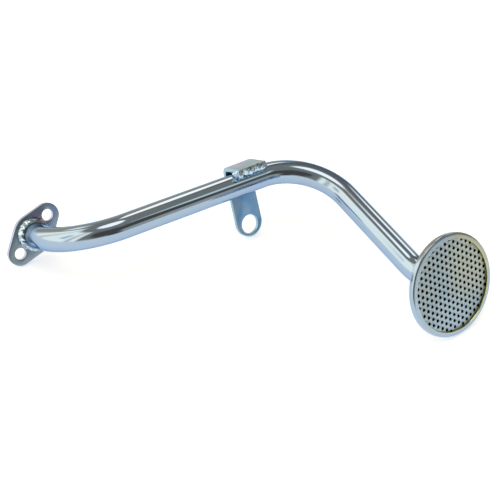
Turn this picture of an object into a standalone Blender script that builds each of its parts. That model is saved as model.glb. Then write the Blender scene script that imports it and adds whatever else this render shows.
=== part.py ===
"""Oil pickup tube for an engine's oil pump, lying as it comes to rest.

Every piece is modelled in the pump's frame. The origin is the centre of the flange's mating face, +Z runs
along the tube as it leaves the flange, and +X is the plan direction of the tube's long run. The last step
lays the whole assembly on the ground, on its flange, the end of its bracket and the strainer's rim.
"""

import math

import bmesh
import bpy
from mathutils import Matrix, Vector

MM = 0.001

# Running clearance between pieces that touch on the real part
GAP = 0.3 * MM

# Bent tube
TUBE_OD = 19.05 * MM
TUBE_WALL = 1.25 * MM
BEND_RADIUS = 50.8 * MM
FLANGE_DROP = 69.4 * MM
RUN_LENGTH = 216.5 * MM
RUN_FALL = 14.0 * MM
LEG_OFFSET = 84.7 * MM
LEG_FALL = 113.5 * MM
TUBE_RECESS = 0.5 * MM
TUBE_SIDES = 24
BEND_STEP = math.radians(8.0)

# Two-bolt flange
FLANGE_THICKNESS = 4.8 * MM
FLANGE_BOLT_SPACING = 36.9 * MM
FLANGE_BOLT_WEB = 3.875 * MM
FLANGE_LOBE_WALL = 4.75 * MM
FLANGE_CENTRE_RADIUS = 16.0 * MM
FLANGE_TURN = math.radians(36.4)
FLANGE_EDGE = 0.5 * MM
FLANGE_LOBE_SIDES = 14
FLANGE_MIDDLE_SIDES = 5
FLANGE_BORE_SIDES = 32
BOLT_HOLE_SIDES = 20

# Bent strap that ties the long run to a main-cap stud
BRACKET_STATION = 155.2 * MM
STRAP_WIDTH = 24.0 * MM
STRAP_THICKNESS = 3.45 * MM
STRAP_INNER_BEND = 3.2 * MM
STRAP_EDGE = 0.35 * MM
BRACKET_REACH = 48.2 * MM
STUD_HOLE = 15.8 * MM
STUD_HOLE_WALL = 2.2 * MM
TOP_STANDOFF = 1.5 * MM
TOP_OVERHANG = 2.5 * MM
BEND_STATIONS = 6
STRAP_END_SIDES = 18
STUD_HOLE_SIDES = 28

# Strainer cup
CUP_OD = 78.0 * MM
CUP_WALL = 1.6 * MM
CUP_DEPTH = 13.5 * MM
CUP_LIP_WIDTH = 3.7 * MM
CUP_RIM_RADIUS = 1.5 * MM
CUP_LEDGE_RADIUS = 1.3 * MM
CUP_LEDGE_WIDTH = 2.4 * MM
CUP_FLOOR_RADIUS = 15.0 * MM
CUP_STEM = 32.0 * MM
CUP_STEPS = 48
CUP_RIM_STEPS = 3
CUP_LEDGE_STEPS = 2
CUP_DISH_STEPS = 6

# Perforated screen
SCREEN_THICKNESS = 1.2 * MM
SCREEN_HOLE = 2.4 * MM
SCREEN_PITCH = 4.7625 * MM
SCREEN_ROW_TURN = math.radians(-36.2)
SCREEN_SHIFT = (1.1 * MM, 0.6 * MM)
SCREEN_EDGE_MARGIN = 0.5 * MM
SCREEN_HOLE_SIDES = 6

# Weld beads: a leg runs along the plate, a rise along the tube, and a ripple is the height of the lumps
FLANGE_BEAD_LEG = 4.1 * MM
FLANGE_BEAD_RISE = 4.9 * MM
CUP_BEAD_LEG = 3.2 * MM
CUP_BEAD_RISE = 3.2 * MM
BEAD_CROWN = 0.16
BEAD_RIPPLE = 0.09
BEAD_HOLE_MARGIN = 0.2 * MM
FLANGE_BEAD_LUMP_COUNT = 14
CUP_BEAD_LUMP_COUNT = 12
BRACKET_BEAD_LUMP_COUNT = 5
BRACKET_BEAD_TAIL = 4.2 * MM
BRACKET_BEAD_WRAP = 1.9 * MM
BRACKET_BEAD_BACK = 3.8 * MM
BRACKET_BEAD_DROP = 0.6 * MM
BRACKET_BEAD_HEIGHT = 3.1 * MM
BRACKET_BEAD_CREST = 0.6 * MM
BRACKET_BEAD_FOOT = math.radians(44.0)
BRACKET_BEAD_ROOT = math.radians(30.0)
BEAD_END_SIZE = 0.4
RING_LUMP_STATIONS = 4
RING_FACE_STEPS = 4
BRACKET_LUMP_STATIONS = 5
BRACKET_TAIL_STATIONS = 4
BRACKET_WRAP_STATIONS = 3
BRACKET_FACE_STEPS = 5
BRACKET_FOOT_STEPS = 3

WELD_DISTANCE = 1e-6

# Sizes that follow from the ones above
TUBE_RADIUS = TUBE_OD / 2
RUN_SLOPE = RUN_FALL / RUN_LENGTH
CUP_FRONT = FLANGE_DROP + RUN_FALL + LEG_FALL + CUP_STEM
CUP_CENTRE = Vector((RUN_LENGTH, -LEG_OFFSET, CUP_FRONT))
CUP_RADIUS = CUP_OD / 2
CUP_LIP_RADIUS = CUP_RADIUS - CUP_LIP_WIDTH
SCREEN_TOP = -CUP_WALL - GAP
SCREEN_RADIUS = CUP_RADIUS - CUP_WALL - GAP
CUP_LEDGE_DEPTH = 2 * CUP_WALL + SCREEN_THICKNESS + 2 * GAP
TUBE_END = CUP_FRONT - CUP_DEPTH + CUP_WALL + GAP
TUBE_HOLE_RADIUS = TUBE_RADIUS + GAP
FLANGE_BOLT_HOLE = FLANGE_BOLT_SPACING - 2 * (TUBE_HOLE_RADIUS + FLANGE_BOLT_WEB)
FLANGE_LOBE_RADIUS = FLANGE_BOLT_HOLE / 2 + FLANGE_LOBE_WALL
# The strap's leg is square to the flange and the run slopes, so the leg clears the tube at its lower corner
LEG_FACE = TUBE_RADIUS / math.cos(math.atan(RUN_SLOPE)) + RUN_SLOPE * STRAP_WIDTH / 2 + GAP
TOP_FACE = TUBE_RADIUS + TOP_STANDOFF


def clear_scene():
    for old in list(bpy.data.objects):
        bpy.data.objects.remove(old, do_unlink=True)


def make_material(name, colour, roughness, metallic=1.0):
    material = bpy.data.materials.new(name)
    material.use_nodes = True
    shader = material.node_tree.nodes["Principled BSDF"]
    shader.inputs["Base Color"].default_value = (*colour, 1.0)
    shader.inputs["Roughness"].default_value = roughness
    shader.inputs["Metallic"].default_value = metallic
    material.diffuse_color = (*colour, 1.0)
    return material


def add_object(name, mesh, material, collection):
    mesh.name = name
    mesh.materials.clear()
    mesh.materials.append(material)
    piece = bpy.data.objects.new(name, mesh)
    collection.objects.link(piece)
    return piece


def mesh_of_curve(curve):
    """The filled and welded mesh of a curve, whose caps are loose until they are merged."""
    holder = bpy.data.objects.new("outline", curve)
    bpy.context.scene.collection.objects.link(holder)
    bpy.context.view_layer.update()
    depsgraph = bpy.context.evaluated_depsgraph_get()
    mesh = bpy.data.meshes.new_from_object(holder.evaluated_get(depsgraph))
    bpy.data.objects.remove(holder, do_unlink=True)
    bm = bmesh.new()
    bm.from_mesh(mesh)
    bmesh.ops.remove_doubles(bm, verts=bm.verts, dist=WELD_DISTANCE)
    bm.to_mesh(mesh)
    bm.free()
    return mesh


def add_spline(curve, points, cyclic):
    spline = curve.splines.new("POLY")
    spline.points.add(len(points) - 1)
    for slot, point in zip(spline.points, points):
        slot.co = (*point, 1.0)
    spline.use_cyclic_u = cyclic


def arc(centre, radius, start, end, steps):
    """Points on an arc in the plane, both ends included."""
    angles = [start + (end - start) * i / steps for i in range(steps + 1)]
    middle = Vector((centre[0], centre[1], 0.0))
    return [middle + Vector((math.cos(a), math.sin(a), 0.0)) * radius for a in angles]


def plate_mesh(outline, holes, thickness, edge):
    """A flat plate centred on z = 0 with its edges rounded by a small bevel."""
    curve = bpy.data.curves.new("plate", "CURVE")
    curve.dimensions = "2D"
    curve.fill_mode = "BOTH"
    curve.extrude = thickness / 2 - edge
    curve.bevel_depth = edge
    curve.bevel_resolution = 0
    curve.offset = -edge
    add_spline(curve, outline, True)
    for hole in holes:
        add_spline(curve, list(reversed(hole)), True)
    return mesh_of_curve(curve)


def bent_path(corners, radius):
    """A line through the corners with each inner corner rounded to the bend radius."""
    path = [corners[0]]
    for before, corner, after in zip(corners, corners[1:], corners[2:]):
        into = (before - corner).normalized()
        out = (after - corner).normalized()
        half = into.angle(out) / 2
        turn = math.pi - 2 * half
        centre = corner + (into + out).normalized() * radius / math.sin(half)
        start = corner + into * radius / math.tan(half) - centre
        steps = max(2, math.ceil(turn / BEND_STEP))
        axis = (-into).cross(out).normalized()
        path += [centre + Matrix.Rotation(turn * i / steps, 3, axis) @ start for i in range(steps + 1)]
    path.append(corners[-1])
    return path


def tube_corners():
    first = Vector((0.0, 0.0, FLANGE_DROP))
    second = first + Vector((RUN_LENGTH, 0.0, RUN_FALL))
    third = second + Vector((0.0, -LEG_OFFSET, LEG_FALL))
    end = Vector((third.x, third.y, TUBE_END))
    return [Vector((0.0, 0.0, TUBE_RECESS)), first, second, third, end]


def build_tube(material, collection):
    """An open swept skin of the tube's outer size, given its wall inwards."""
    curve = bpy.data.curves.new("tube_path", "CURVE")
    curve.dimensions = "3D"
    curve.bevel_depth = TUBE_RADIUS
    curve.bevel_resolution = TUBE_SIDES // 2 - 2
    curve.use_fill_caps = False
    add_spline(curve, bent_path(tube_corners(), BEND_RADIUS), False)
    tube = add_object("pickup_tube", mesh_of_curve(curve), material, collection)
    tube.data.shade_smooth()
    wall = tube.modifiers.new("wall", "SOLIDIFY")
    wall.thickness = TUBE_WALL
    wall.offset = -1.0
    return tube


def flange_outline():
    """Two bolt lobes and a round middle, joined by their common tangents."""
    half = FLANGE_BOLT_SPACING / 2
    tangent = math.acos((FLANGE_CENTRE_RADIUS - FLANGE_LOBE_RADIUS) / half)
    middle = math.pi - 2 * tangent
    outline = arc((half, 0.0), FLANGE_LOBE_RADIUS, -tangent, tangent, FLANGE_LOBE_SIDES)
    outline += arc((0.0, 0.0), FLANGE_CENTRE_RADIUS, tangent, tangent + middle, FLANGE_MIDDLE_SIDES)
    outline += arc((-half, 0.0), FLANGE_LOBE_RADIUS, math.pi - tangent, math.pi + tangent, FLANGE_LOBE_SIDES)
    outline += arc((0.0, 0.0), FLANGE_CENTRE_RADIUS, math.pi + tangent, math.pi + tangent + middle,
                   FLANGE_MIDDLE_SIDES)
    return outline


def round_hole(centre, radius, sides):
    return arc(centre, radius, 0.0, math.tau, sides)[:-1]


def build_flange(material, collection):
    half = FLANGE_BOLT_SPACING / 2
    holes = [round_hole((0.0, 0.0), TUBE_HOLE_RADIUS, FLANGE_BORE_SIDES)]
    holes += [round_hole((side * half, 0.0), FLANGE_BOLT_HOLE / 2, BOLT_HOLE_SIDES) for side in (-1, 1)]
    mesh = plate_mesh(flange_outline(), holes, FLANGE_THICKNESS, FLANGE_EDGE)
    place = Matrix.Translation((0.0, 0.0, FLANGE_THICKNESS / 2)) @ Matrix.Rotation(FLANGE_TURN, 4, "Z")
    mesh.transform(place)
    return add_object("pump_flange", mesh, material, collection)


def bend_strap(bm, bend_start, inner_radius, thickness, stations):
    """Fold the part of a flat strap beyond bend_start through a right angle towards +Z.

    The blank lies with its inner face on z = 0 and its outer face on z = -thickness. It is cut across at
    each station of the bend, and then every point is carried round the bend's axis.
    """
    bend_length = (inner_radius + thickness / 2) * math.pi / 2
    for i in range(stations + 1):
        across = Vector((0.0, bend_start + bend_length * i / stations, 0.0))
        bmesh.ops.bisect_plane(
            bm, geom=bm.verts[:] + bm.edges[:] + bm.faces[:], plane_co=across, plane_no=(0.0, 1.0, 0.0),
            dist=WELD_DISTANCE)
    for vert in bm.verts:
        beyond = vert.co.y - bend_start
        if beyond <= 0.0:
            continue
        radius = inner_radius - vert.co.z
        turned = min(beyond / bend_length, 1.0) * math.pi / 2
        vert.co.y = bend_start + radius * math.sin(turned)
        vert.co.z = inner_radius - radius * math.cos(turned) + max(beyond - bend_length, 0.0)


def build_bracket(material, collection):
    """A flat blank with a round end and a stud hole, folded over the tube."""
    half = STRAP_WIDTH / 2
    bend_start = TOP_FACE - STRAP_INNER_BEND
    bend_length = (STRAP_INNER_BEND + STRAP_THICKNESS / 2) * math.pi / 2
    top_length = LEG_FACE - STRAP_INNER_BEND + TUBE_RADIUS + TOP_OVERHANG
    blank_top = bend_start + bend_length + top_length
    outline = arc((0.0, -BRACKET_REACH + half), half, math.pi, math.tau, STRAP_END_SIDES)
    outline += [Vector((half, blank_top, 0.0)), Vector((-half, blank_top, 0.0))]
    hole_centre = -BRACKET_REACH + STUD_HOLE_WALL + STUD_HOLE / 2
    hole = round_hole((0.0, hole_centre), STUD_HOLE / 2, STUD_HOLE_SIDES)
    mesh = plate_mesh(outline, [hole], STRAP_THICKNESS, STRAP_EDGE)
    mesh.transform(Matrix.Translation((0.0, 0.0, -STRAP_THICKNESS / 2)))
    bm = bmesh.new()
    bm.from_mesh(mesh)
    bend_strap(bm, bend_start, STRAP_INNER_BEND, STRAP_THICKNESS, BEND_STATIONS)
    bm.to_mesh(mesh)
    bm.free()
    mesh.transform(Matrix.Translation(bracket_origin() - Vector((0.0, 0.0, LEG_FACE))))
    return add_object("support_bracket", mesh, material, collection)


def bracket_origin():
    """The point of the run's axis that the bracket is centred on."""
    return Vector((BRACKET_STATION, 0.0, FLANGE_DROP + RUN_SLOPE * BRACKET_STATION))


def loft(name, sections, closed, material, collection):
    """A skin through sections of equal count, closed round on itself or capped at both ends."""
    bm = bmesh.new()
    rings = [[bm.verts.new(point) for point in section] for section in sections]
    pairs = list(zip(rings, rings[1:]))
    if closed:
        pairs.append((rings[-1], rings[0]))
    else:
        bm.faces.new(rings[0])
        bm.faces.new(list(reversed(rings[-1])))
    for near, far in pairs:
        for i in range(len(near)):
            j = (i + 1) % len(near)
            bm.faces.new((near[i], far[i], far[j], near[j]))
    if bm.calc_volume(signed=True) < 0.0:
        bmesh.ops.reverse_faces(bm, faces=bm.faces[:])
    mesh = bpy.data.meshes.new(name)
    bm.to_mesh(mesh)
    bm.free()
    return add_object(name, mesh, material, collection)


def ripple(turns, lumps):
    """The bead's size along its length: a row of round lumps with sharp valleys between them."""
    return 1.0 - BEAD_RIPPLE + 2 * BEAD_RIPPLE * abs(math.sin(math.pi * lumps * turns))


def bowed_line(start, end, height, steps):
    """Points on a shallow bow between two points of a plane, which stands out to the left of the line."""
    chord = Vector(end) - Vector(start)
    side = Vector((-chord.y, chord.x)).normalized()
    return [Vector(start) + chord * (i / steps) + side * height * math.sin(math.pi * i / steps)
            for i in range(steps + 1)]


def ring_bead(name, centre, direction, leg_at, rise, lumps, material, collection):
    """A fillet weld round the tube, standing on a plate at the centre's height and growing along Z."""
    stations = RING_LUMP_STATIONS * lumps
    root = TUBE_RADIUS + GAP
    up = Vector((0.0, 0.0, direction))
    sections = []
    for i in range(stations):
        turns = i / stations
        size = ripple(turns, lumps)
        angle = math.tau * turns
        leg = leg_at(angle) * size
        face = bowed_line((0.0, rise * size), (leg, 0.0), BEAD_CROWN * rise, RING_FACE_STEPS)
        out = Vector((math.cos(angle), math.sin(angle), 0.0))
        section = [Vector((0.0, 0.0))] + list(reversed(face))
        sections.append([centre + out * (root + point.x) + up * (GAP + point.y) for point in section])
    return loft(name, sections, True, material, collection)


def flange_bead_leg(angle):
    """The leg on the flange, drawn in where the bead passes the two bolt holes."""
    room = (FLANGE_BOLT_SPACING - FLANGE_BOLT_HOLE) / 2 - TUBE_RADIUS - GAP - BEAD_HOLE_MARGIN
    beside_hole = min(FLANGE_BEAD_LEG, room / (1.0 + BEAD_RIPPLE))
    nearness = math.cos(angle - FLANGE_TURN) ** 8
    return FLANGE_BEAD_LEG + (beside_hole - FLANGE_BEAD_LEG) * nearness


def build_flange_weld(material, collection):
    centre = Vector((0.0, 0.0, FLANGE_THICKNESS))
    return ring_bead("flange_weld", centre, 1.0, flange_bead_leg, FLANGE_BEAD_RISE, FLANGE_BEAD_LUMP_COUNT,
                     material, collection)


def build_cup_weld(material, collection):
    centre = Vector((CUP_CENTRE.x, CUP_CENTRE.y, CUP_FRONT - CUP_DEPTH))
    return ring_bead("cup_weld", centre, -1.0, lambda angle: CUP_BEAD_LEG, CUP_BEAD_RISE, CUP_BEAD_LUMP_COUNT,
                     material, collection)


def bracket_bead_section(x, height, wrapped):
    """One section of the strap's bead, as (height over the tube's axis, distance in front of it).

    It runs from the strap's top edge down a bowed face onto the tube, back along the tube's skin, and up
    behind. Before the strap it turns up in front of the free edge. Beside the strap it is wrapped back along
    the strap's side.
    """
    under = TOP_FACE - GAP
    front = TUBE_RADIUS + TOP_OVERHANG + GAP
    edge = Vector((TOP_FACE + STRAP_THICKNESS, front))
    crest = edge + Vector((0.0, BRACKET_BEAD_CREST))
    on_tube = arc((0.0, RUN_SLOPE * x), TUBE_RADIUS + GAP, BRACKET_BEAD_FOOT, BRACKET_BEAD_ROOT,
                  BRACKET_FOOT_STEPS)
    face = bowed_line(on_tube[0].xy, crest, height, BRACKET_FACE_STEPS)
    if wrapped:
        behind = edge - Vector((BRACKET_BEAD_DROP, BRACKET_BEAD_BACK))
    else:
        behind = Vector((under, front))
    back = [Vector((under, on_tube[-1].y)), behind, edge]
    return list(reversed(face)) + [point.xy for point in on_tube[1:]] + back


def shrunk(section, centre, size):
    return [centre + (point - centre) * size for point in section]


def build_bracket_weld(material, collection):
    """The bead that fills the corner between the strap's free edge and the tube.

    It starts as a lump wrapped round the strap's side, runs along the free edge, and goes on along the tube
    in a short tail. Both ends shrink: the lump about its own middle, the tail towards the tube's skin.
    """
    side = STRAP_WIDTH / 2 + GAP
    stations = BRACKET_LUMP_STATIONS * BRACKET_BEAD_LUMP_COUNT
    placed = []
    for i in range(BRACKET_WRAP_STATIONS):
        share = i / (BRACKET_WRAP_STATIONS - 1)
        x = -side - GAP - BRACKET_BEAD_WRAP * (1.0 - share)
        section = bracket_bead_section(x, BRACKET_BEAD_HEIGHT, True)
        middle = sum(section, Vector((0.0, 0.0))) / len(section)
        size = BEAD_END_SIZE + (1.0 - BEAD_END_SIZE) * math.sin(math.pi / 2 * share)
        placed.append((x, shrunk(section, middle, size)))
    for i in range(stations + 1):
        along = i / stations
        x = -side + 2 * side * along
        height = BRACKET_BEAD_HEIGHT * ripple(along, BRACKET_BEAD_LUMP_COUNT)
        placed.append((x, bracket_bead_section(x, height, False)))
    for i in range(1, BRACKET_TAIL_STATIONS + 1):
        share = i / BRACKET_TAIL_STATIONS
        x = side + BRACKET_BEAD_TAIL * share
        section = bracket_bead_section(x, BRACKET_BEAD_HEIGHT, False)
        foot = arc((0.0, RUN_SLOPE * x), TUBE_RADIUS + GAP, BRACKET_BEAD_FOOT, BRACKET_BEAD_ROOT, 2)[1].xy
        placed.append((x, shrunk(section, foot, 1.0 - (1.0 - BEAD_END_SIZE) * share ** 2)))
    sections = [[bracket_origin() + Vector((x, point.x, point.y)) for point in section]
                for x, section in placed]
    return loft("bracket_weld", sections, False, material, collection)


def cup_profile():
    """The cup's outer line, as (radius, depth behind the front): lip, rim, side, ledge, dish and floor."""
    rim = CUP_RADIUS - CUP_RIM_RADIUS
    ledge = CUP_RADIUS - CUP_LEDGE_RADIUS
    dish_start = CUP_RADIUS - CUP_WALL - CUP_LEDGE_WIDTH
    line = [Vector((CUP_LIP_RADIUS, 0.0, 0.0))]
    line += arc((rim, -CUP_RIM_RADIUS), CUP_RIM_RADIUS, math.pi / 2, 0.0, CUP_RIM_STEPS)
    line += arc((ledge, -CUP_LEDGE_DEPTH + CUP_LEDGE_RADIUS), CUP_LEDGE_RADIUS, 0.0, -math.pi / 2,
                CUP_LEDGE_STEPS)
    for i in range(CUP_DISH_STEPS + 1):
        t = i / CUP_DISH_STEPS
        fall = (1.0 - math.cos(math.pi * t)) / 2
        line.append(Vector((dish_start + (CUP_FLOOR_RADIUS - dish_start) * t,
                            -CUP_LEDGE_DEPTH - (CUP_DEPTH - CUP_LEDGE_DEPTH) * fall, 0.0)))
    line.append(Vector((TUBE_HOLE_RADIUS, -CUP_DEPTH, 0.0)))
    return line


def build_cup(material, collection):
    """The outer line turned about the cup's axis, given its wall inwards."""
    mesh = bpy.data.meshes.new("screen_cup")
    points = [CUP_CENTRE + Vector((p.x, 0.0, p.y)) for p in cup_profile()]
    local = [point - CUP_CENTRE for point in points]
    mesh.from_pydata(local, [(i, i + 1) for i in range(len(local) - 1)], [])
    cup = add_object("screen_cup", mesh, material, collection)
    cup.location = CUP_CENTRE
    turn = cup.modifiers.new("turn", "SCREW")
    turn.steps = CUP_STEPS
    turn.render_steps = CUP_STEPS
    turn.use_merge_vertices = True
    turn.merge_threshold = WELD_DISTANCE
    turn.use_smooth_shade = True
    wall = cup.modifiers.new("wall", "SOLIDIFY")
    wall.thickness = CUP_WALL
    wall.offset = -1.0
    wall.use_even_offset = True
    return cup


def hole_centres():
    """A triangular pattern of holes over the disc, each hole whole and clear of its edge."""
    limit = SCREEN_RADIUS - SCREEN_HOLE / 2 - SCREEN_EDGE_MARGIN
    along = Vector((math.cos(SCREEN_ROW_TURN), math.sin(SCREEN_ROW_TURN), 0.0)) * SCREEN_PITCH
    across = Matrix.Rotation(math.radians(60.0), 3, "Z") @ along
    shift = Vector((*SCREEN_SHIFT, 0.0))
    reach = math.ceil(2 * SCREEN_RADIUS / SCREEN_PITCH)
    steps = range(-reach, reach + 1)
    grid = [shift + along * i + across * j for i in steps for j in steps]
    return [centre for centre in grid if centre.length < limit]


def build_screen(material, collection):
    curve = bpy.data.curves.new("screen", "CURVE")
    curve.dimensions = "2D"
    curve.fill_mode = "BOTH"
    curve.extrude = SCREEN_THICKNESS / 2
    add_spline(curve, round_hole((0.0, 0.0), SCREEN_RADIUS, CUP_STEPS), True)
    for centre in hole_centres():
        add_spline(curve, round_hole(centre, SCREEN_HOLE / 2, SCREEN_HOLE_SIDES), True)
    mesh = mesh_of_curve(curve)
    middle = Vector((0.0, 0.0, SCREEN_TOP - SCREEN_THICKNESS / 2))
    mesh.transform(Matrix.Translation(CUP_CENTRE + middle))
    return add_object("strainer_screen", mesh, material, collection)


def world_points(piece, depsgraph):
    shaped = piece.evaluated_get(depsgraph)
    mesh = shaped.to_mesh()
    points = [piece.matrix_world @ vert.co for vert in mesh.vertices]
    shaped.to_mesh_clear()
    return points


def lay_on_ground(pieces, feet):
    """Turn the assembly so that the three feet's lowest points lie in one level plane.

    Tilting changes which points are lowest, so the plane is found again until it stays. The rest of the
    pose is a level long run along +X, with the whole centred over the origin.
    """
    bpy.context.view_layer.update()
    depsgraph = bpy.context.evaluated_depsgraph_get()
    clouds = {piece.name: world_points(piece, depsgraph) for piece in pieces}
    up = Vector((0.0, 1.0, 0.5)).normalized()
    for _ in range(12):
        low = [min(clouds[foot.name], key=lambda point: point.dot(up)) for foot in feet]
        level = (low[1] - low[0]).cross(low[2] - low[0]).normalized()
        up = level if level.dot(up) > 0.0 else -level
    along = (Vector((1.0, 0.0, 0.0)) - up * up.x).normalized()
    turn = Matrix((along, up.cross(along), up))
    placed = [turn @ point for cloud in clouds.values() for point in cloud]
    low = Vector([min(point[axis] for point in placed) for axis in range(3)])
    high = Vector([max(point[axis] for point in placed) for axis in range(3)])
    middle = (low + high) / 2
    ground = bpy.data.objects.new("rest_frame", None)
    bpy.context.scene.collection.objects.link(ground)
    ground.matrix_world = Matrix.Translation((-middle.x, -middle.y, -low.z)) @ turn.to_4x4()
    for piece in pieces:
        piece.parent = ground


def main():
    clear_scene()
    collection = bpy.data.collections.new("oil_pickup_tube")
    bpy.context.scene.collection.children.link(collection)
    bright_tube = make_material("bright_plated_tube", (0.62, 0.66, 0.69), 0.12)
    plated_plate = make_material("plated_plate", (0.34, 0.42, 0.48), 0.34)
    plated_strap = make_material("plated_strap", (0.25, 0.38, 0.52), 0.36)
    plated_cup = make_material("plated_cup", (0.52, 0.57, 0.60), 0.30)
    plated_screen = make_material("plated_screen", (0.46, 0.50, 0.50), 0.42)
    bead_metal = make_material("bead_metal", (0.60, 0.66, 0.72), 0.22)
    tube = build_tube(bright_tube, collection)
    flange = build_flange(plated_plate, collection)
    flange_weld = build_flange_weld(bead_metal, collection)
    bracket = build_bracket(plated_strap, collection)
    bracket_weld = build_bracket_weld(bead_metal, collection)
    cup = build_cup(plated_cup, collection)
    cup_weld = build_cup_weld(bead_metal, collection)
    screen = build_screen(plated_screen, collection)
    pieces = [tube, flange, flange_weld, bracket, bracket_weld, cup, cup_weld, screen]
    lay_on_ground(pieces, (flange, bracket, cup))


main()
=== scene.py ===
"""The looks of the oil pickup tube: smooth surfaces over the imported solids, plated finishes, studio light.

Each piece is worked out in the pump's frame, as the real one is laid out: the origin is the centre of the
flange's mating face, +Z runs along the tube as it leaves the flange, and +X along the tube's long run. One
turn and one shift then lay it on the ground, where the solids lie.
"""

import math

import bmesh
import bpy
import numpy as np
from mathutils import Matrix, Vector


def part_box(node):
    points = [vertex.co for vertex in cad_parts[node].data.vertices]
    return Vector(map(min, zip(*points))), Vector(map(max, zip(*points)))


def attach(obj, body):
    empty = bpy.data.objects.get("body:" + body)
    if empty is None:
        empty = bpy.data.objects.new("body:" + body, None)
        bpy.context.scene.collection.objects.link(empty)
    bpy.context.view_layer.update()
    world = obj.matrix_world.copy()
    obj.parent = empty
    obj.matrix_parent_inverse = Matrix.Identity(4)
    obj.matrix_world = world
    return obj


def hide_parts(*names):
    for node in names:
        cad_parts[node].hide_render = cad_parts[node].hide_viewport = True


MM = 0.001

# Bent tube
TUBE_OD = 19.05 * MM
TUBE_WALL = 1.25 * MM
BEND_RADIUS = 50.8 * MM
FLANGE_DROP = 69.4 * MM
RUN_LENGTH = 216.5 * MM
RUN_FALL = 14.0 * MM
LEG_OFFSET = 84.7 * MM
LEG_FALL = 113.5 * MM
TUBE_RECESS = 0.5 * MM
TUBE_SIDES = 96
TUBE_STATION = 1.6 * MM
STRAIGHT_LEAST_STATIONS = 2
BEND_LEAST_STATIONS = 6
TUBE_EDGE = 0.2 * MM
TUBE_DULLED_TO = 34.0 * MM
TUBE_DULLED_FADE = 20.0 * MM

# Two-bolt flange
FLANGE_THICKNESS = 4.8 * MM
FLANGE_BOLT_SPACING = 36.9 * MM
FLANGE_BOLT_HOLE = 9.5 * MM
FLANGE_CENTRE_RADIUS = 16.0 * MM
FLANGE_LOBE_RADIUS = 9.5 * MM
FLANGE_TURN = math.radians(36.4)
FLANGE_EDGE = 0.45 * MM
FLANGE_LOBE_SIDES = 48
FLANGE_MIDDLE_SIDES = 16
FLANGE_BORE_SIDES = 96
BOLT_HOLE_SIDES = 64

# Folded strap
BRACKET_STATION = 155.2 * MM
STRAP_WIDTH = 24.0 * MM
STRAP_THICKNESS = 3.45 * MM
STRAP_INNER_BEND = 3.2 * MM
STRAP_EDGE = 0.4 * MM
BRACKET_REACH = 48.2 * MM
STUD_HOLE = 15.8 * MM
STUD_HOLE_WALL = 2.2 * MM
TOP_STANDOFF = 1.5 * MM
TOP_OVERHANG = 2.5 * MM
FOLD_STATIONS = 16
STRAP_END_SIDES = 64
STUD_HOLE_SIDES = 96

# Edges of the plates: their steps, the part of an edge that its painted dark shade line takes up, and the
# angle kept sharp
PLATE_EDGE_STEPS = 3
EDGE_SHADE_FROM = 0.05
EDGE_SHADE_TO = 0.95
PLATE_SHARP = math.radians(35.0)

# Strainer cup
CUP_OD = 78.0 * MM
CUP_WALL = 1.6 * MM
CUP_DEPTH = 13.5 * MM
CUP_LIP_WIDTH = 3.7 * MM
CUP_LIP_WAVER = 0.6 * MM
CUP_LIP_TRIM = 0.1 * MM
CUP_LIP_WIDE_TURN = 2.2
CUP_LIP_RIPPLE = 0.25
CUP_LIP_RIPPLE_TURN = 2.6
CUP_LIP_MARGIN = 0.2 * MM
CUP_LIP_SLACK = 0.01 * MM
CUP_LIP_SKIN_MARK = 0.6
CUP_LIP_ROUND = 0.35 * MM
CUP_LIP_END_STEPS = 7
CUP_RIM_RADIUS = 1.5 * MM
CUP_LEDGE_RADIUS = 1.3 * MM
CUP_LEDGE_WIDTH = 2.4 * MM
CUP_FLOOR_RADIUS = 15.0 * MM
CUP_FRONT = 228.9 * MM
CUP_STEPS = 192
CUP_RIM_STEPS = 10
CUP_LEDGE_STEPS = 8
CUP_DISH_STEPS = 40
CUP_LIP_POINTS = 6
CUP_FLOOR_POINTS = 5
CUP_SHARP = math.radians(40.0)

# Perforated screen
SCREEN_THICKNESS = 1.2 * MM
SCREEN_HOLE = 2.56 * MM
SCREEN_PITCH = 4.7625 * MM
SCREEN_ROW_TURN = math.radians(-36.2)
SCREEN_SHIFT = np.array([0.8, 0.6]) * MM
SCREEN_EDGE_MARGIN = 0.5 * MM
SCREEN_HOLE_SIDES = 16
SCREEN_EDGE = 0.1 * MM
SCREEN_EDGE_STEPS = 1

# Lumps of a hand-run bead, and its slow waves as (size, count along the bead, share of the seed): those that
# shift the lumps, and those that swell them
LUMP_VALLEY = 0.93
LUMP_HEIGHT = 0.13
LUMP_ROUNDNESS = 0.7
LUMP_SHIFTS = [(0.35, 2, 1), (0.2, 5, 2)]
LUMP_SWELLS = [(0.05, 3, 1), (0.03, 7, 3)]

# Beads round the tube, at the flange and at the cup
FLANGE_BEAD_LEG = 4.1 * MM
FLANGE_BEAD_RISE = 4.9 * MM
FLANGE_BEAD_LUMPS = 13
FLANGE_BEAD_SEED = 0.6
FLANGE_BEAD_NARROWS = 8
CUP_BEAD_LEG = 3.2 * MM
CUP_BEAD_RISE = 3.2 * MM
CUP_BEAD_LUMPS = 12
CUP_BEAD_SEED = 2.1
RING_BEAD_ROOT = 0.2 * MM
RING_BEAD_LEAN = 0.35
RING_LUMP_STATIONS = 24
RING_FACE_STEPS = 14
BEAD_CROWN = 0.2
BEAD_CLEARANCE = 0.1 * MM
BEAD_HOLE_MARGIN = 0.2 * MM
# Painted shade on a ring bead's face next to the tube: the share of the way up from the toe where it starts,
# and the share over which it fades in
THROAT_SHADE_START = 0.74
THROAT_SHADE_FADE = 0.2

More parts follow.
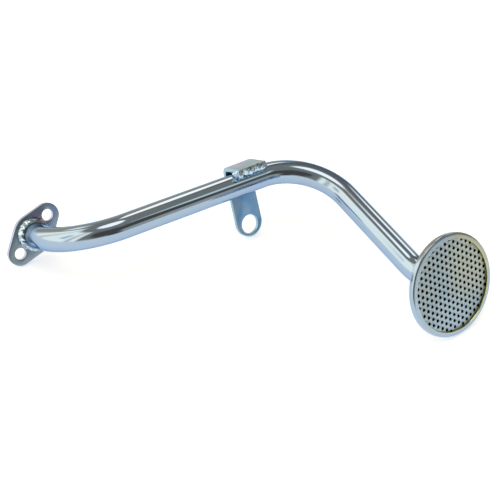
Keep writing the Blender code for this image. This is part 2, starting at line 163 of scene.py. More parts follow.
# The strap's bead: its section, its wrap round the strap's side, its tail along the tube, and its stations
BRACKET_BEAD_LUMPS = 5
BRACKET_BEAD_SEED = 1.3
BRACKET_BEAD_LEAN = 0.05
BRACKET_BEAD_HEIGHT = 3.1 * MM
BRACKET_BEAD_SWELL = 1.8
BRACKET_BEAD_FULLNESS = 0.85
BRACKET_BEAD_CREST = 0.6 * MM
BRACKET_BEAD_FOOT = math.radians(44.0)
BRACKET_BEAD_FOOT_WAVER = 1.1
BRACKET_BEAD_ROOT = math.radians(10.0)
BRACKET_BEAD_CLEARANCE = 0.08 * MM
BRACKET_BEAD_SKIN = 0.04 * MM
BRACKET_BEAD_WRAP = 1.9 * MM
BRACKET_BEAD_BACK = 3.8 * MM
BRACKET_BEAD_DROP = 0.6 * MM
BRACKET_BEAD_WRAP_SIZE = 0.4
BRACKET_BEAD_TAIL = 4.2 * MM
BRACKET_BEAD_TAIL_SHRINK = 0.75
BRACKET_BEAD_TAIL_POWER = 1.6
BRACKET_FACE_STEPS = 22
BRACKET_FOOT_STEPS = 6
BRACKET_WRAP_STATIONS = 14
BRACKET_FRONT_STATIONS = 170
BRACKET_TAIL_STATIONS = 29
BRACKET_BEAD_SHARP = math.radians(60.0)

# How the part lies: turned about X, then about Y
REST_ROLL = math.radians(64.264)
REST_PITCH = math.radians(1.1098)

# The gap between the solids, and the distance within which doubled points are merged
GAP = 0.3 * MM
WELD_DISTANCE = 1e-7

# Worked out from the sizes above
TUBE_RADIUS = TUBE_OD / 2
RUN_SLOPE = RUN_FALL / RUN_LENGTH
CUP_RADIUS = CUP_OD / 2
CUP_CENTRE = np.array([RUN_LENGTH, -LEG_OFFSET, CUP_FRONT])
SCREEN_TOP = -CUP_WALL - GAP
SCREEN_RADIUS = CUP_RADIUS - CUP_WALL - GAP
CUP_LEDGE_DEPTH = 2 * CUP_WALL + SCREEN_THICKNESS + 2 * GAP
TUBE_END = CUP_FRONT - CUP_DEPTH + CUP_WALL + GAP
LEG_FACE = TUBE_RADIUS / math.cos(math.atan(RUN_SLOPE)) + RUN_SLOPE * STRAP_WIDTH / 2 + GAP
TOP_FACE = TUBE_RADIUS + TOP_STANDOFF
BRACKET_ORIGIN = np.array([BRACKET_STATION, 0.0, FLANGE_DROP + RUN_SLOPE * BRACKET_STATION])

# Where the weld has scorched the flange and its bead, beside the upper bolt hole
WELD_SCORCH = np.array([9.0 * MM, 9.5 * MM, FLANGE_THICKNESS + 1.5 * MM])

# The camera, fitted to the outlines of the photograph's object
CAMERA_PLACE = (-0.33294, -0.44050, 0.51117)
CAMERA_AIM = (0.00285, -0.00204, 0.03513)
CAMERA_ROLL = math.radians(2.36)
CAMERA_LENS = 69.86
SENSOR_WIDTH = 36.0
CAMERA_NEAR = 0.01
CAMERA_FAR = 50.0

# Plating: the clouds of its mottle, and how far noise shifts the border of a stain
CLOUD_DETAIL = 5.0
CLOUD_ROUGHNESS = 0.62
CLOUD_FROM = 0.35
CLOUD_TO = 0.68
STAIN_WOBBLE = 6.0 * MM
STAIN_WOBBLE_SCALE = 140.0

# Kinds of socket, and a mix node's sockets for colours
COLOUR = "NodeSocketColor"
NUMBER = "NodeSocketFloat"
PLACE = "NodeSocketVector"
MIX_FIRST = 6
MIX_SECOND = 7
MIX_RESULT = 2


def rest_matrix():
    """The turn of the pump's frame in the world, and where its origin lies, read from the flange's box."""
    turn = np.array(Matrix.Rotation(REST_PITCH, 3, "Y") @ Matrix.Rotation(REST_ROLL, 3, "X"))
    low, high = (np.array(corner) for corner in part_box("pump_flange"))
    origin = (low + high) / 2 - turn @ np.array([0.0, 0.0, FLANGE_THICKNESS / 2])
    return turn, origin


def to_world(points):
    """The same points in the world: each is turned with the rest frame and shifted to its origin."""
    turn, origin = REST
    return np.asarray(points) @ turn.T + origin


def add_piece(name, mesh, material, replaced):
    """One finished piece at the origin, which rides on the part and stands for the solid that it covers."""
    mesh.materials.clear()
    mesh.materials.append(material)
    piece = bpy.data.objects.new(name, mesh)
    bpy.context.scene.collection.objects.link(piece)
    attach(piece, "root")
    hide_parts(replaced)
    return piece


def grid_faces(rows, columns, wrap_rows, wrap_columns):
    """The four corner indices of each cell of a grid of points, whose far edges may join its near ones."""
    row = np.arange(rows if wrap_rows else rows - 1)[:, None]
    column = np.arange(columns if wrap_columns else columns - 1)[None, :]
    below = (row + 1) % rows
    beside = (column + 1) % columns
    cells = [row * columns + column, row * columns + beside,
             below * columns + beside, below * columns + column]
    return np.stack([np.broadcast_to(c, (row.size, column.size)) for c in cells], axis=-1).reshape(-1, 4)


def grid_mesh(name, points, wrap_rows, wrap_columns, caps=False):
    """A quad mesh through a grid of points, laid in the world, facing outwards, its ends capped or open."""
    rows, columns = points.shape[:2]
    faces = grid_faces(rows, columns, wrap_rows, wrap_columns)
    mesh = bpy.data.meshes.new(name)
    ends = []
    if caps:
        ends = [list(range(columns)), list(range((rows - 1) * columns, rows * columns))[::-1]]
    mesh.from_pydata(to_world(points.reshape(-1, 3)).tolist(), [], faces.tolist() + ends)
    bm = bmesh.new()
    bm.from_mesh(mesh)
    if bm.calc_volume(signed=True) < 0.0:
        bmesh.ops.reverse_faces(bm, faces=bm.faces[:])
    bm.to_mesh(mesh)
    bm.free()
    mesh.shade_smooth()
    return mesh


def mark(mesh, label, values):
    """One number for each point of a mesh, kept under a name that its material reads."""
    layer = mesh.attributes.new(label, "FLOAT", "POINT")
    layer.data.foreach_set("value", np.asarray(values, dtype=np.float32))


def turned(vector, axis, angles):
    """A vector turned about an axis by each angle: its part along the axis stays, the rest goes round."""
    along = axis * (vector @ axis)
    rest = vector - along
    side = np.cross(axis, rest)
    return along + np.cos(angles)[:, None] * rest + np.sin(angles)[:, None] * side


def tube_path():
    """Stations along the centre line with two cross directions each: straight runs, and arcs at the corners.

    On an arc both the centre's offset and the cross directions turn together about the bend's axis, so the
    surface never twists.
    """
    first = np.array([0.0, 0.0, FLANGE_DROP])
    second = first + [RUN_LENGTH, 0.0, RUN_FALL]
    third = second + [0.0, -LEG_OFFSET, LEG_FALL]
    mouth = np.array([0.0, 0.0, TUBE_RECESS])
    corners = [mouth, first, second, third, np.array([third[0], third[1], TUBE_END])]
    place = corners[0]
    across = np.array([1.0, 0.0, 0.0])
    ahead = np.array([0.0, 0.0, 1.0])
    centres, sides, tops = [], [], []
    for before, corner, after in zip(corners, corners[1:], corners[2:] + [None]):
        if after is None:
            stop = corner
        else:
            into = (before - corner) / np.linalg.norm(before - corner)
            out = (after - corner) / np.linalg.norm(after - corner)
            half = math.acos(np.clip(into @ out, -1.0, 1.0)) / 2
            stop = corner + into * BEND_RADIUS / math.tan(half)
        count = max(STRAIGHT_LEAST_STATIONS, int(np.linalg.norm(stop - place) / TUBE_STATION))
        share = np.arange(count)[:, None] / count
        centres.append(place + (stop - place) * share)
        sides.append(np.repeat(across[None], count, axis=0))
        tops.append(np.repeat(np.cross(ahead, across)[None], count, axis=0))
        place = stop
        if after is None:
            continue
        middle = corner + (into + out) / np.linalg.norm(into + out) * BEND_RADIUS / math.sin(half)
        axis = np.cross(-into, out)
        axis /= np.linalg.norm(axis)
        bend = math.pi - 2 * half
        count = max(BEND_LEAST_STATIONS, int(bend * BEND_RADIUS / TUBE_STATION))
        angles = bend * np.arange(count) / count
        centres.append(middle + turned(stop - middle, axis, angles))
        sides.append(turned(across, axis, angles))
        tops.append(turned(np.cross(ahead, across), axis, angles))
        place = middle + turned(stop - middle, axis, np.array([bend]))[0]
        across = turned(across, axis, np.array([bend]))[0]
        ahead = out
    centres.append(place[None])
    sides.append(across[None])
    tops.append(np.cross(ahead, across)[None])
    return np.concatenate(centres), np.concatenate(sides), np.concatenate(tops)


def build_tube(material):
    """A circle carried along the centre line: out on the outer skin, over the end's rim and back inside.

    One attribute marks where the weld's heat has dulled the plating: full at the flange, it fades along the
    tube in a smooth step.
    """
    centres, sides, tops = tube_path()
    inner = TUBE_RADIUS - TUBE_WALL
    last = len(centres) - 1
    order = np.concatenate([np.arange(last + 1), [last, last], np.arange(last, -1, -1), [0, 0]])
    radius = np.concatenate([
        np.full(last + 1, TUBE_RADIUS), [TUBE_RADIUS - TUBE_EDGE, inner + TUBE_EDGE],
        np.full(last + 1, inner), [inner + TUBE_EDGE, TUBE_RADIUS - TUBE_EDGE]])
    inward = np.zeros(len(order))
    inward[[last, last + 3]] = TUBE_EDGE
    inward[[0, -3]] = -TUBE_EDGE
    angles = math.tau * np.arange(TUBE_SIDES) / TUBE_SIDES
    ahead = np.cross(sides, tops)[order]
    ring = (sides[order][:, None] * np.cos(angles)[None, :, None]
            + tops[order][:, None] * np.sin(angles)[None, :, None])
    middle = centres[order] - ahead * inward[:, None]
    mesh = grid_mesh("bent_tube", middle[:, None] + ring * radius[:, None, None], True, True)
    run = np.concatenate([[0.0], np.cumsum(np.linalg.norm(np.diff(centres, axis=0), axis=1))])
    share = np.clip((TUBE_DULLED_TO - run[order]) / TUBE_DULLED_FADE, 0.0, 1.0)
    mark(mesh, "dulled", np.repeat(share * share * (3.0 - 2.0 * share), TUBE_SIDES))
    return add_piece("bent_tube", mesh, material, "pickup_tube")


def arc(centre, radius, start, end, steps):
    """Points on an arc in the plane, both ends included."""
    angles = np.linspace(start, end, steps + 1)
    return np.stack([centre[0] + radius * np.cos(angles), centre[1] + radius * np.sin(angles)], axis=-1)


def round_hole(centre, radius, sides):
    """Points round a whole circle, without its last, which is its first again."""
    return arc(centre, radius, 0.0, math.tau, sides)[:-1]


def flat_plate(name, outline, holes, thickness, edge, edge_steps):
    """A flat plate about z = 0: an outline with holes, filled both sides, with round edges.

    Two attributes mark its sheared walls and the line of its round edges: painted shade on the screen's walls
    and the flange's line.
    """
    curve = bpy.data.curves.new(name, "CURVE")
    curve.dimensions = "2D"
    curve.fill_mode = "BOTH"
    curve.extrude = thickness / 2 - edge
    curve.bevel_depth = edge
    curve.bevel_resolution = edge_steps
    curve.offset = -edge
    for loop in [outline] + [hole[::-1] for hole in holes]:
        spline = curve.splines.new("POLY")
        spline.points.add(len(loop) - 1)
        rows = np.zeros((len(loop), 4))
        rows[:, :2] = loop
        rows[:, 3] = 1.0
        spline.points.foreach_set("co", rows.ravel())
        spline.use_cyclic_u = True
    holder = bpy.data.objects.new(name, curve)
    bpy.context.scene.collection.objects.link(holder)
    bpy.context.view_layer.update()
    mesh = bpy.data.meshes.new_from_object(holder.evaluated_get(bpy.context.evaluated_depsgraph_get()))
    bpy.data.objects.remove(holder, do_unlink=True)
    bm = bmesh.new()
    bm.from_mesh(mesh)
    bmesh.ops.remove_doubles(bm, verts=bm.verts, dist=WELD_DISTANCE)
    bm.to_mesh(mesh)
    bm.free()
    heights = np.empty(len(mesh.vertices) * 3)
    mesh.vertices.foreach_get("co", heights)
    depth = (thickness / 2 - np.abs(heights[2::3])) / edge
    mark(mesh, "sheared", np.clip(depth, 0.0, 1.0) ** 3)
    # painted shade: the middle of each round edge, which the flange's finish darkens into a line
    mark(mesh, "edge_shade_line", (depth > EDGE_SHADE_FROM) & (depth < EDGE_SHADE_TO))
    return mesh


def place_plate(mesh, shape):
    """Moves every point of a flat plate by a function of the whole array, then lays it in the world."""
    points = np.empty(len(mesh.vertices) * 3)
    mesh.vertices.foreach_get("co", points)
    placed = to_world(shape(points.reshape(-1, 3)))
    mesh.vertices.foreach_set("co", placed.ravel())
    mesh.shade_smooth()
    mesh.set_sharp_from_angle(angle=PLATE_SHARP)
    mesh.update()


def build_flange(material):
    """Two bolt lobes and a round middle joined by their common tangents, with the bore and two bolt holes."""
    half = FLANGE_BOLT_SPACING / 2
    tangent = math.acos((FLANGE_CENTRE_RADIUS - FLANGE_LOBE_RADIUS) / half)
    middle = math.pi - 2 * tangent
    outline = np.concatenate([
        arc((half, 0.0), FLANGE_LOBE_RADIUS, -tangent, tangent, FLANGE_LOBE_SIDES),
        arc((0.0, 0.0), FLANGE_CENTRE_RADIUS, tangent, tangent + middle, FLANGE_MIDDLE_SIDES),
        arc((-half, 0.0), FLANGE_LOBE_RADIUS, math.pi - tangent, math.pi + tangent, FLANGE_LOBE_SIDES),
        arc((0.0, 0.0), FLANGE_CENTRE_RADIUS, math.pi + tangent, math.pi + tangent + middle,
            FLANGE_MIDDLE_SIDES)])
    holes = [round_hole((0.0, 0.0), TUBE_RADIUS + GAP, FLANGE_BORE_SIDES)]
    holes += [round_hole((side * half, 0.0), FLANGE_BOLT_HOLE / 2, BOLT_HOLE_SIDES) for side in (-1, 1)]
    mesh = flat_plate("flange_plate", outline, holes, FLANGE_THICKNESS, FLANGE_EDGE, PLATE_EDGE_STEPS)
    turn = np.array(Matrix.Rotation(FLANGE_TURN, 3, "Z"))
    place_plate(mesh, lambda flat: flat @ turn.T + [0.0, 0.0, FLANGE_THICKNESS / 2])
    return add_piece("flange_plate", mesh, material, "pump_flange")


def folded(flat):
    """The flat strap folded towards +Z: what lies beyond the fold's start is carried round its axis.

    A point at height z above the inner face has the radius inner - z there, and its distance past the start,
    measured on the strap's middle line, gives its angle up to a right angle. The rest goes straight on.
    """
    start = TOP_FACE - STRAP_INNER_BEND
    length = (STRAP_INNER_BEND + STRAP_THICKNESS / 2) * math.pi / 2
    x, y, z = flat[:, 0], flat[:, 1], flat[:, 2] - STRAP_THICKNESS / 2
    beyond = y - start
    radius = STRAP_INNER_BEND - z
    angle = np.clip(beyond / length, 0.0, 1.0) * math.pi / 2
    bent = beyond > 0.0
    y = np.where(bent, start + radius * np.sin(angle), y)
    z = np.where(bent, STRAP_INNER_BEND - radius * np.cos(angle) + np.clip(beyond - length, 0.0, None), z)
    return np.stack([x, y, z], axis=-1) + BRACKET_ORIGIN - [0.0, 0.0, LEG_FACE]


def build_strap(material):
    """One flat blank with a round end and a stud hole, cut across at each station of its fold and folded."""
    half = STRAP_WIDTH / 2
    start = TOP_FACE - STRAP_INNER_BEND
    length = (STRAP_INNER_BEND + STRAP_THICKNESS / 2) * math.pi / 2
    far = start + length + LEG_FACE - STRAP_INNER_BEND + TUBE_RADIUS + TOP_OVERHANG
    outline = np.concatenate([arc((0.0, -BRACKET_REACH + half), half, math.pi, math.tau, STRAP_END_SIDES),
                              [[half, far], [-half, far]]])
    stud = (0.0, -BRACKET_REACH + STUD_HOLE_WALL + STUD_HOLE / 2)
    hole = round_hole(stud, STUD_HOLE / 2, STUD_HOLE_SIDES)
    mesh = flat_plate("strap_bracket", outline, [hole], STRAP_THICKNESS, STRAP_EDGE, PLATE_EDGE_STEPS)
    bm = bmesh.new()
    bm.from_mesh(mesh)
    for i in range(FOLD_STATIONS + 1):
        across = Vector((0.0, start + length * i / FOLD_STATIONS, 0.0))
        bmesh.ops.bisect_plane(bm, geom=bm.verts[:] + bm.edges[:] + bm.faces[:], plane_co=across,
                               plane_no=(0.0, 1.0, 0.0), dist=WELD_DISTANCE)
    bm.to_mesh(mesh)
    bm.free()
    place_plate(mesh, folded)
    return add_piece("strap_bracket", mesh, material, "support_bracket")


def slow_waves(turns, seed, waves):
    """The sum of a few sine waves along the bead."""
    return sum(size * np.sin(math.tau * turns * count + share * seed) for size, count, share in waves)


def lumpy(turns, lumps, seed):
    """The size of a hand-run bead along its length: round lumps of uneven size with valleys between them.

    Each lump is a half sine wave raised to a power below one, with a rounder crown and sharper valleys.
    """
    beat = turns * lumps + slow_waves(turns, seed, LUMP_SHIFTS)
    lump = np.abs(np.sin(math.pi * beat)) ** LUMP_ROUNDNESS
    return LUMP_VALLEY + LUMP_HEIGHT * lump + slow_waves(turns, seed, LUMP_SWELLS)


def bow(start, end, height, steps):
    """A shallow bow from start to end: the straight line, plus a half sine wave to its left."""
    share = np.linspace(0.0, 1.0, steps + 1)[:, None]
    chord = end - start
    side = np.stack([-chord[..., 1], chord[..., 0]], axis=-1)
    side = side / np.linalg.norm(side, axis=-1, keepdims=True)
    line = start[..., None, :] + chord[..., None, :] * share
    return line + side[..., None, :] * height * np.sin(math.pi * share)


def ring_bead(name, centre, direction, leg_at, rise, lumps, seed, material, replaced):
    """A fillet weld round the tube: a bowed triangle carried round it, its size given by the lumps.

    The lumps lean back as they climb, as a torch leaves them, so each point's turn is shifted by its height.
    One attribute marks where the bead runs out on the tube, for the dark valley of painted shade there.
    """
    stations = RING_LUMP_STATIONS * lumps
    turns = np.arange(stations) / stations
    angle = math.tau * turns
    leg = leg_at(angle)
    top = np.stack([np.zeros(stations), np.full(stations, rise)], axis=-1)
    toe = np.stack([leg, np.zeros(stations)], axis=-1)
    face = bow(top, toe, BEAD_CROWN * rise, RING_FACE_STEPS)
    climb = np.linspace(1.0, 0.0, RING_FACE_STEPS + 1)
    lean = turns[:, None] + RING_BEAD_LEAN / lumps * np.sin(math.pi * climb)[None, :]
    middle = np.sin(math.pi * climb)[None, :] ** 0.5
    size = 1.0 + (lumpy(lean, lumps, seed) - 1.0) * middle
    face = face * size[..., None]
    root = np.full((stations, 1, 2), -RING_BEAD_ROOT)
    section = np.concatenate([root, face[:, ::-1]], axis=1)
    out = np.stack([np.cos(angle), np.sin(angle), np.zeros(stations)], axis=-1)
    up = np.array([0.0, 0.0, direction])
    base = TUBE_RADIUS + BEAD_CLEARANCE
    points = centre + out[:, None] * (base + section[..., :1]) + up * (BEAD_CLEARANCE + section[..., 1:])
    mesh = grid_mesh(name, points, True, True)
    # painted shade: the dark valley where the bead runs onto the tube
    throat_shade = np.clip((climb[::-1] - THROAT_SHADE_START) / THROAT_SHADE_FADE, 0.0, 1.0)
    mark(mesh, "throat_shade", np.tile(np.concatenate([[1.0], throat_shade]), stations))
    return add_piece(name, mesh, material, replaced)


def flange_bead_leg(angle):
    """The leg on the flange, drawn in at the bolt holes by a high power of the cosine of the angle."""
    room = (FLANGE_BOLT_SPACING - FLANGE_BOLT_HOLE) / 2 - TUBE_RADIUS - GAP - BEAD_HOLE_MARGIN
    return FLANGE_BEAD_LEG + (room - FLANGE_BEAD_LEG) * np.cos(angle - FLANGE_TURN) ** FLANGE_BEAD_NARROWS


def cup_bead_leg(angle):
    """The leg on the cup's back, the same all round."""
    return np.full(angle.shape, CUP_BEAD_LEG)


def build_ring_beads(material):
    """The bead that rises from the flange's free face, and the one that rises from the cup's back."""
    flange_face = np.array([0.0, 0.0, FLANGE_THICKNESS])
    cup_back = np.array([CUP_CENTRE[0], CUP_CENTRE[1], CUP_FRONT - CUP_DEPTH])
    ring_bead("flange_bead", flange_face, 1.0, flange_bead_leg, FLANGE_BEAD_RISE, FLANGE_BEAD_LUMPS,
              FLANGE_BEAD_SEED, material, "flange_weld")
    ring_bead("cup_bead", cup_back, -1.0, cup_bead_leg, CUP_BEAD_RISE, CUP_BEAD_LUMPS, CUP_BEAD_SEED,
              material, "cup_weld")


def strap_bead_sections(x, turns, behind):
    """Sections of the strap's bead at each x, as (height over the tube's axis, distance in front of it).

    Each runs from the strap's top edge down a bowed face onto the tube, back along the tube's skin and up
    behind. The bow has lumps that lean along the bead, and the foot wavers with them.
    """
    under = TOP_FACE - BRACKET_BEAD_CLEARANCE
    edge = np.array([TOP_FACE + STRAP_THICKNESS, TUBE_RADIUS + TOP_OVERHANG + BRACKET_BEAD_CLEARANCE])
    climb = np.linspace(0.0, 1.0, BRACKET_FACE_STEPS + 1)
    arch = np.sin(math.pi * climb)[None, :]
    lumps = lumpy(turns[:, None] + BRACKET_BEAD_LEAN * arch, BRACKET_BEAD_LUMPS, BRACKET_BEAD_SEED)
    skin = TUBE_RADIUS + BRACKET_BEAD_SKIN
    foot = BRACKET_BEAD_FOOT + BRACKET_BEAD_FOOT_WAVER * (lumps[:, 0] - 1.0)
    back = np.linspace(0.0, 1.0, BRACKET_FOOT_STEPS + 1)
    rim = foot[:, None] + (BRACKET_BEAD_ROOT - foot)[:, None] * back[None, :]
    on_tube = np.stack([skin * np.cos(rim), skin * np.sin(rim) + (RUN_SLOPE * x)[:, None]], axis=-1)
    crest = np.broadcast_to(edge + [0.0, BRACKET_BEAD_CREST], on_tube[:, 0].shape)
    chord = crest - on_tube[:, 0]
    side = np.stack([-chord[:, 1], chord[:, 0]], axis=-1)
    side /= np.linalg.norm(side, axis=-1, keepdims=True)
    swell = BRACKET_BEAD_HEIGHT * (1.0 + BRACKET_BEAD_SWELL * (lumps - 1.0)) * arch ** BRACKET_BEAD_FULLNESS
    face = on_tube[:, :1] + chord[:, None] * climb[None, :, None] + side[:, None] * swell[..., None]
    root = np.stack([np.full(len(x), under), on_tube[:, -1, 1]], axis=-1)[:, None]
    edges = np.broadcast_to(edge, root.shape)
    behinds = np.broadcast_to(behind, root.shape)
    return np.concatenate([face[:, ::-1], on_tube[:, 1:], root, behinds, edges], axis=1)


def shrunk(sections, centres, sizes):
    """Each section drawn in towards its own centre."""
    return centres[:, None] + (sections - centres[:, None]) * sizes[:, None, None]


def build_strap_bead(material):
    """The bead in the corner between the strap's edge and the tube.

    It starts as a lump wrapped round the strap's side, runs along the free edge, and goes on along the tube
    in a short tail. Both ends shrink: the lump about its own middle, the tail towards the tube's skin.
    """
    side = STRAP_WIDTH / 2 + BEAD_CLEARANCE
    reach = 2 * side + BRACKET_BEAD_WRAP + BRACKET_BEAD_TAIL
    corner = np.array([TOP_FACE + STRAP_THICKNESS, TUBE_RADIUS + TOP_OVERHANG])
    inner = [TOP_FACE - BRACKET_BEAD_CLEARANCE, corner[1] + BRACKET_BEAD_CLEARANCE]

    share = np.linspace(0.0, 1.0, BRACKET_WRAP_STATIONS)
    wrap_x = -side - BEAD_CLEARANCE - BRACKET_BEAD_WRAP * np.cos(math.pi / 2 * share)
    behind = corner - [BRACKET_BEAD_DROP, BRACKET_BEAD_BACK]
    wrap = strap_bead_sections(wrap_x, (wrap_x + side) / reach, behind)
    size = BRACKET_BEAD_WRAP_SIZE + (1.0 - BRACKET_BEAD_WRAP_SIZE) * np.sin(math.pi / 2 * share)
    wrap = shrunk(wrap, wrap.mean(axis=1), size)

    front_x = np.linspace(-side, side, BRACKET_FRONT_STATIONS)
    front = strap_bead_sections(front_x, (front_x + side) / reach, inner)

    share = np.linspace(0.0, 1.0, BRACKET_TAIL_STATIONS + 1)[1:]
    tail_x = side + BRACKET_BEAD_TAIL * share
    tail = strap_bead_sections(tail_x, (tail_x + side) / reach, inner)
    middle = (BRACKET_BEAD_FOOT + BRACKET_BEAD_ROOT) / 2
    foot = np.stack([np.full(len(tail_x), TUBE_RADIUS * math.cos(middle)),
                     TUBE_RADIUS * math.sin(middle) + RUN_SLOPE * tail_x], axis=-1)
    tail = shrunk(tail, foot, 1.0 - BRACKET_BEAD_TAIL_SHRINK * share ** BRACKET_BEAD_TAIL_POWER)

    x = np.concatenate([wrap_x, front_x, tail_x])
    section = np.concatenate([wrap, front, tail])
    points = np.concatenate([np.broadcast_to(x[:, None, None], section.shape[:2] + (1,)), section], axis=-1)
    mesh = grid_mesh("strap_bead", points + BRACKET_ORIGIN, False, True, caps=True)
    mesh.set_sharp_from_angle(angle=BRACKET_BEAD_SHARP)
    return add_piece("strap_bead", mesh, material, "bracket_weld")


def cup_section():
    """The cup's whole section as (radius, depth): lip, rim, side, ledge, dish and floor, then back inside.

    The dish falls from the ledge to the floor in half a cosine wave. The inner line is the outer one moved
    inwards by the sheet's thickness along its own normal.
    """
    rim = CUP_RADIUS - CUP_RIM_RADIUS
    ledge = CUP_RADIUS - CUP_LEDGE_RADIUS
    dish = CUP_RADIUS - CUP_WALL - CUP_LEDGE_WIDTH
    share = np.linspace(0.0, 1.0, CUP_DISH_STEPS)
    fall = (1.0 - np.cos(math.pi * share)) / 2
    dish_line = np.stack([dish + (CUP_FLOOR_RADIUS - dish) * share,
                          -CUP_LEDGE_DEPTH - (CUP_DEPTH - CUP_LEDGE_DEPTH) * fall], axis=-1)
    lip = np.linspace(CUP_RADIUS - CUP_LIP_WIDTH, rim, CUP_LIP_POINTS)[:-1]
    floor = np.linspace(CUP_FLOOR_RADIUS, TUBE_RADIUS + GAP, CUP_FLOOR_POINTS)[1:]
    outer = np.concatenate([
        np.stack([lip, np.zeros(len(lip))], axis=-1),
        arc((rim, -CUP_RIM_RADIUS), CUP_RIM_RADIUS, math.pi / 2, 0.0, CUP_RIM_STEPS),
        arc((ledge, -CUP_LEDGE_DEPTH + CUP_LEDGE_RADIUS), CUP_LEDGE_RADIUS, 0.0, -math.pi / 2,
            CUP_LEDGE_STEPS),
        dish_line, np.stack([floor, np.full(len(floor), -CUP_DEPTH)], axis=-1)])
    step = np.gradient(outer, axis=0)
    step /= np.linalg.norm(step, axis=1, keepdims=True)
    normal = np.stack([step[:, 1], -step[:, 0]], axis=-1)
    corner = CUP_RADIUS - CUP_WALL
    inner = outer + normal * CUP_WALL
    inner[:, 0] = np.minimum(inner[:, 0], corner)
    top = outer[:, 1] > -CUP_LEDGE_DEPTH / 2
    inner[top, 1] = np.minimum(inner[top, 1], -CUP_WALL)
    low = ~top
    inner[low, 1] = np.where(outer[low, 0] > dish, -CUP_LEDGE_DEPTH + CUP_WALL, inner[low, 1])
    return outer, inner


def build_cup(material):
    """The cup's section turned round its axis, with a small round end at its lip's edge.

    The lip's width varies round the cup by a whole wave and a quarter-size one that is twice as fast, as a
    rolled edge does. Two attributes mark what the finish needs: the cup's inside, for painted shade, and the
    lip's raw edge.
    """
    outer, inner = cup_section()
    turn = np.linspace(-1.0, 1.0, CUP_LIP_END_STEPS)
    lip_end = np.stack([outer[0, 0] + CUP_LIP_ROUND * (1.0 - np.sqrt(1.0 - turn ** 2)),
                        CUP_WALL * (turn - 1.0) / 2], axis=-1)
    section = np.concatenate([outer[1:], inner[::-1][:-1], lip_end])
    count = len(section)
    angles = math.tau * np.arange(CUP_STEPS) / CUP_STEPS
    ripple = np.cos(angles - CUP_LIP_WIDE_TURN) + CUP_LIP_RIPPLE * np.cos(2 * angles - CUP_LIP_RIPPLE_TURN)
    waver = CUP_LIP_WAVER * (1.0 + ripple) - CUP_LIP_TRIM
    steady = CUP_RADIUS - CUP_RIM_RADIUS - CUP_LIP_MARGIN
    on_lip = np.clip((steady - section[:, 0]) / CUP_RIM_RADIUS, 0.0, 1.0)
    on_lip[section[:, 1] < -CUP_WALL - CUP_LIP_SLACK] = 0.0
    radius = section[None, :, 0] - waver[:, None] * on_lip[None, :]
    depth = np.broadcast_to(section[:, 1], radius.shape)
    ring = np.stack([radius * np.cos(angles)[:, None], radius * np.sin(angles)[:, None], depth], axis=-1)
    mesh = grid_mesh("strainer_cup", CUP_CENTRE + ring, True, True)
    mesh.set_sharp_from_angle(angle=CUP_SHARP)
    index = np.arange(count)
    # painted shade: the inside points, which the finish paints near black
    inside = (index >= len(outer) - 1) & (index < count - len(lip_end))
    raw_edge = (index >= count - len(lip_end)).astype(float)
    raw_edge[0] = CUP_LIP_SKIN_MARK
    mark(mesh, "inside", np.tile(inside, CUP_STEPS))
    mark(mesh, "raw_edge", np.tile(raw_edge, CUP_STEPS))
    return add_piece("strainer_cup", mesh, material, "screen_cup")


def hole_centres():
    """A triangular pattern: whole steps along two directions 60 degrees apart, kept within the disc."""
    turns = SCREEN_ROW_TURN + np.array([0.0, math.pi / 3])
    steps = SCREEN_PITCH * np.stack([np.cos(turns), np.sin(turns)], axis=-1)
    reach = math.ceil(2 * SCREEN_RADIUS / SCREEN_PITCH)
    count = np.arange(-reach, reach + 1)
    i, j = np.meshgrid(count, count, indexing="ij")
    grid = SCREEN_SHIFT + i.reshape(-1, 1) * steps[0] + j.reshape(-1, 1) * steps[1]
    limit = SCREEN_RADIUS - SCREEN_HOLE / 2 - SCREEN_EDGE_MARGIN
    return grid[np.linalg.norm(grid, axis=1) < limit]


def build_screen(material):
    """A thin disc with a round hole at each point of the pattern, its punched edges slightly round."""
    outline = round_hole((0.0, 0.0), SCREEN_RADIUS, CUP_STEPS)
    holes = [round_hole(centre, SCREEN_HOLE / 2, SCREEN_HOLE_SIDES) for centre in hole_centres()]
    mesh = flat_plate("perforated_screen", outline, holes, SCREEN_THICKNESS, SCREEN_EDGE,
                      SCREEN_EDGE_STEPS)
    middle = CUP_CENTRE + [0.0, 0.0, SCREEN_TOP - SCREEN_THICKNESS / 2]
    place_plate(mesh, lambda flat: flat + middle)
    return add_piece("perforated_screen", mesh, material, "strainer_screen")


def feed(link, socket, value):
    """Links a socket to another one, or sets it to a plain value."""
    if isinstance(value, bpy.types.NodeSocket):
        link(value, socket)
    else:
        socket.default_value = value


def maths(nodes, link, operation, *values):
    """A number worked out from other sockets or plain numbers."""
    node = nodes.new("ShaderNodeMath")
    node.operation = operation
    for socket, value in zip(node.inputs, values):
        feed(link, socket, value)
    return node.outputs[0]


def colour_mix(nodes, link, factor, first, second):
    """The first colour where the factor is 0 and the second where it is 1."""
    node = nodes.new("ShaderNodeMix")
    node.data_type = "RGBA"
    link(factor, node.inputs["Factor"])
    feed(link, node.inputs[MIX_FIRST], first)
    feed(link, node.inputs[MIX_SECOND], second)
    return node.outputs[MIX_RESULT]


def noise(nodes, link, place, scale, detail=2.0, roughness=0.5):
    """Cloudy noise, mostly near one half, at each place."""
    node = nodes.new("ShaderNodeTexNoise")
    node.inputs["Detail"].default_value = detail
    node.inputs["Roughness"].default_value = roughness
    feed(link, node.inputs["Scale"], scale)
    link(place, node.inputs["Vector"])
    return node.outputs["Fac"]


def smooth_step(nodes, link, value, start, end):
    """0 on the start's side and 1 past the end, with a smooth step between them, whichever is the larger."""
    node = nodes.new("ShaderNodeMapRange")
    node.interpolation_type = "SMOOTHSTEP"
    link(value, node.inputs["Value"])
    feed(link, node.inputs["From Min"], start)
    feed(link, node.inputs["From Max"], end)
    return node.outputs["Result"]


def marked_by(nodes, label):
    """The number that a mesh keeps under a name."""
    node = nodes.new("ShaderNodeAttribute")
    node.attribute_name = label
    return node.outputs["Fac"]


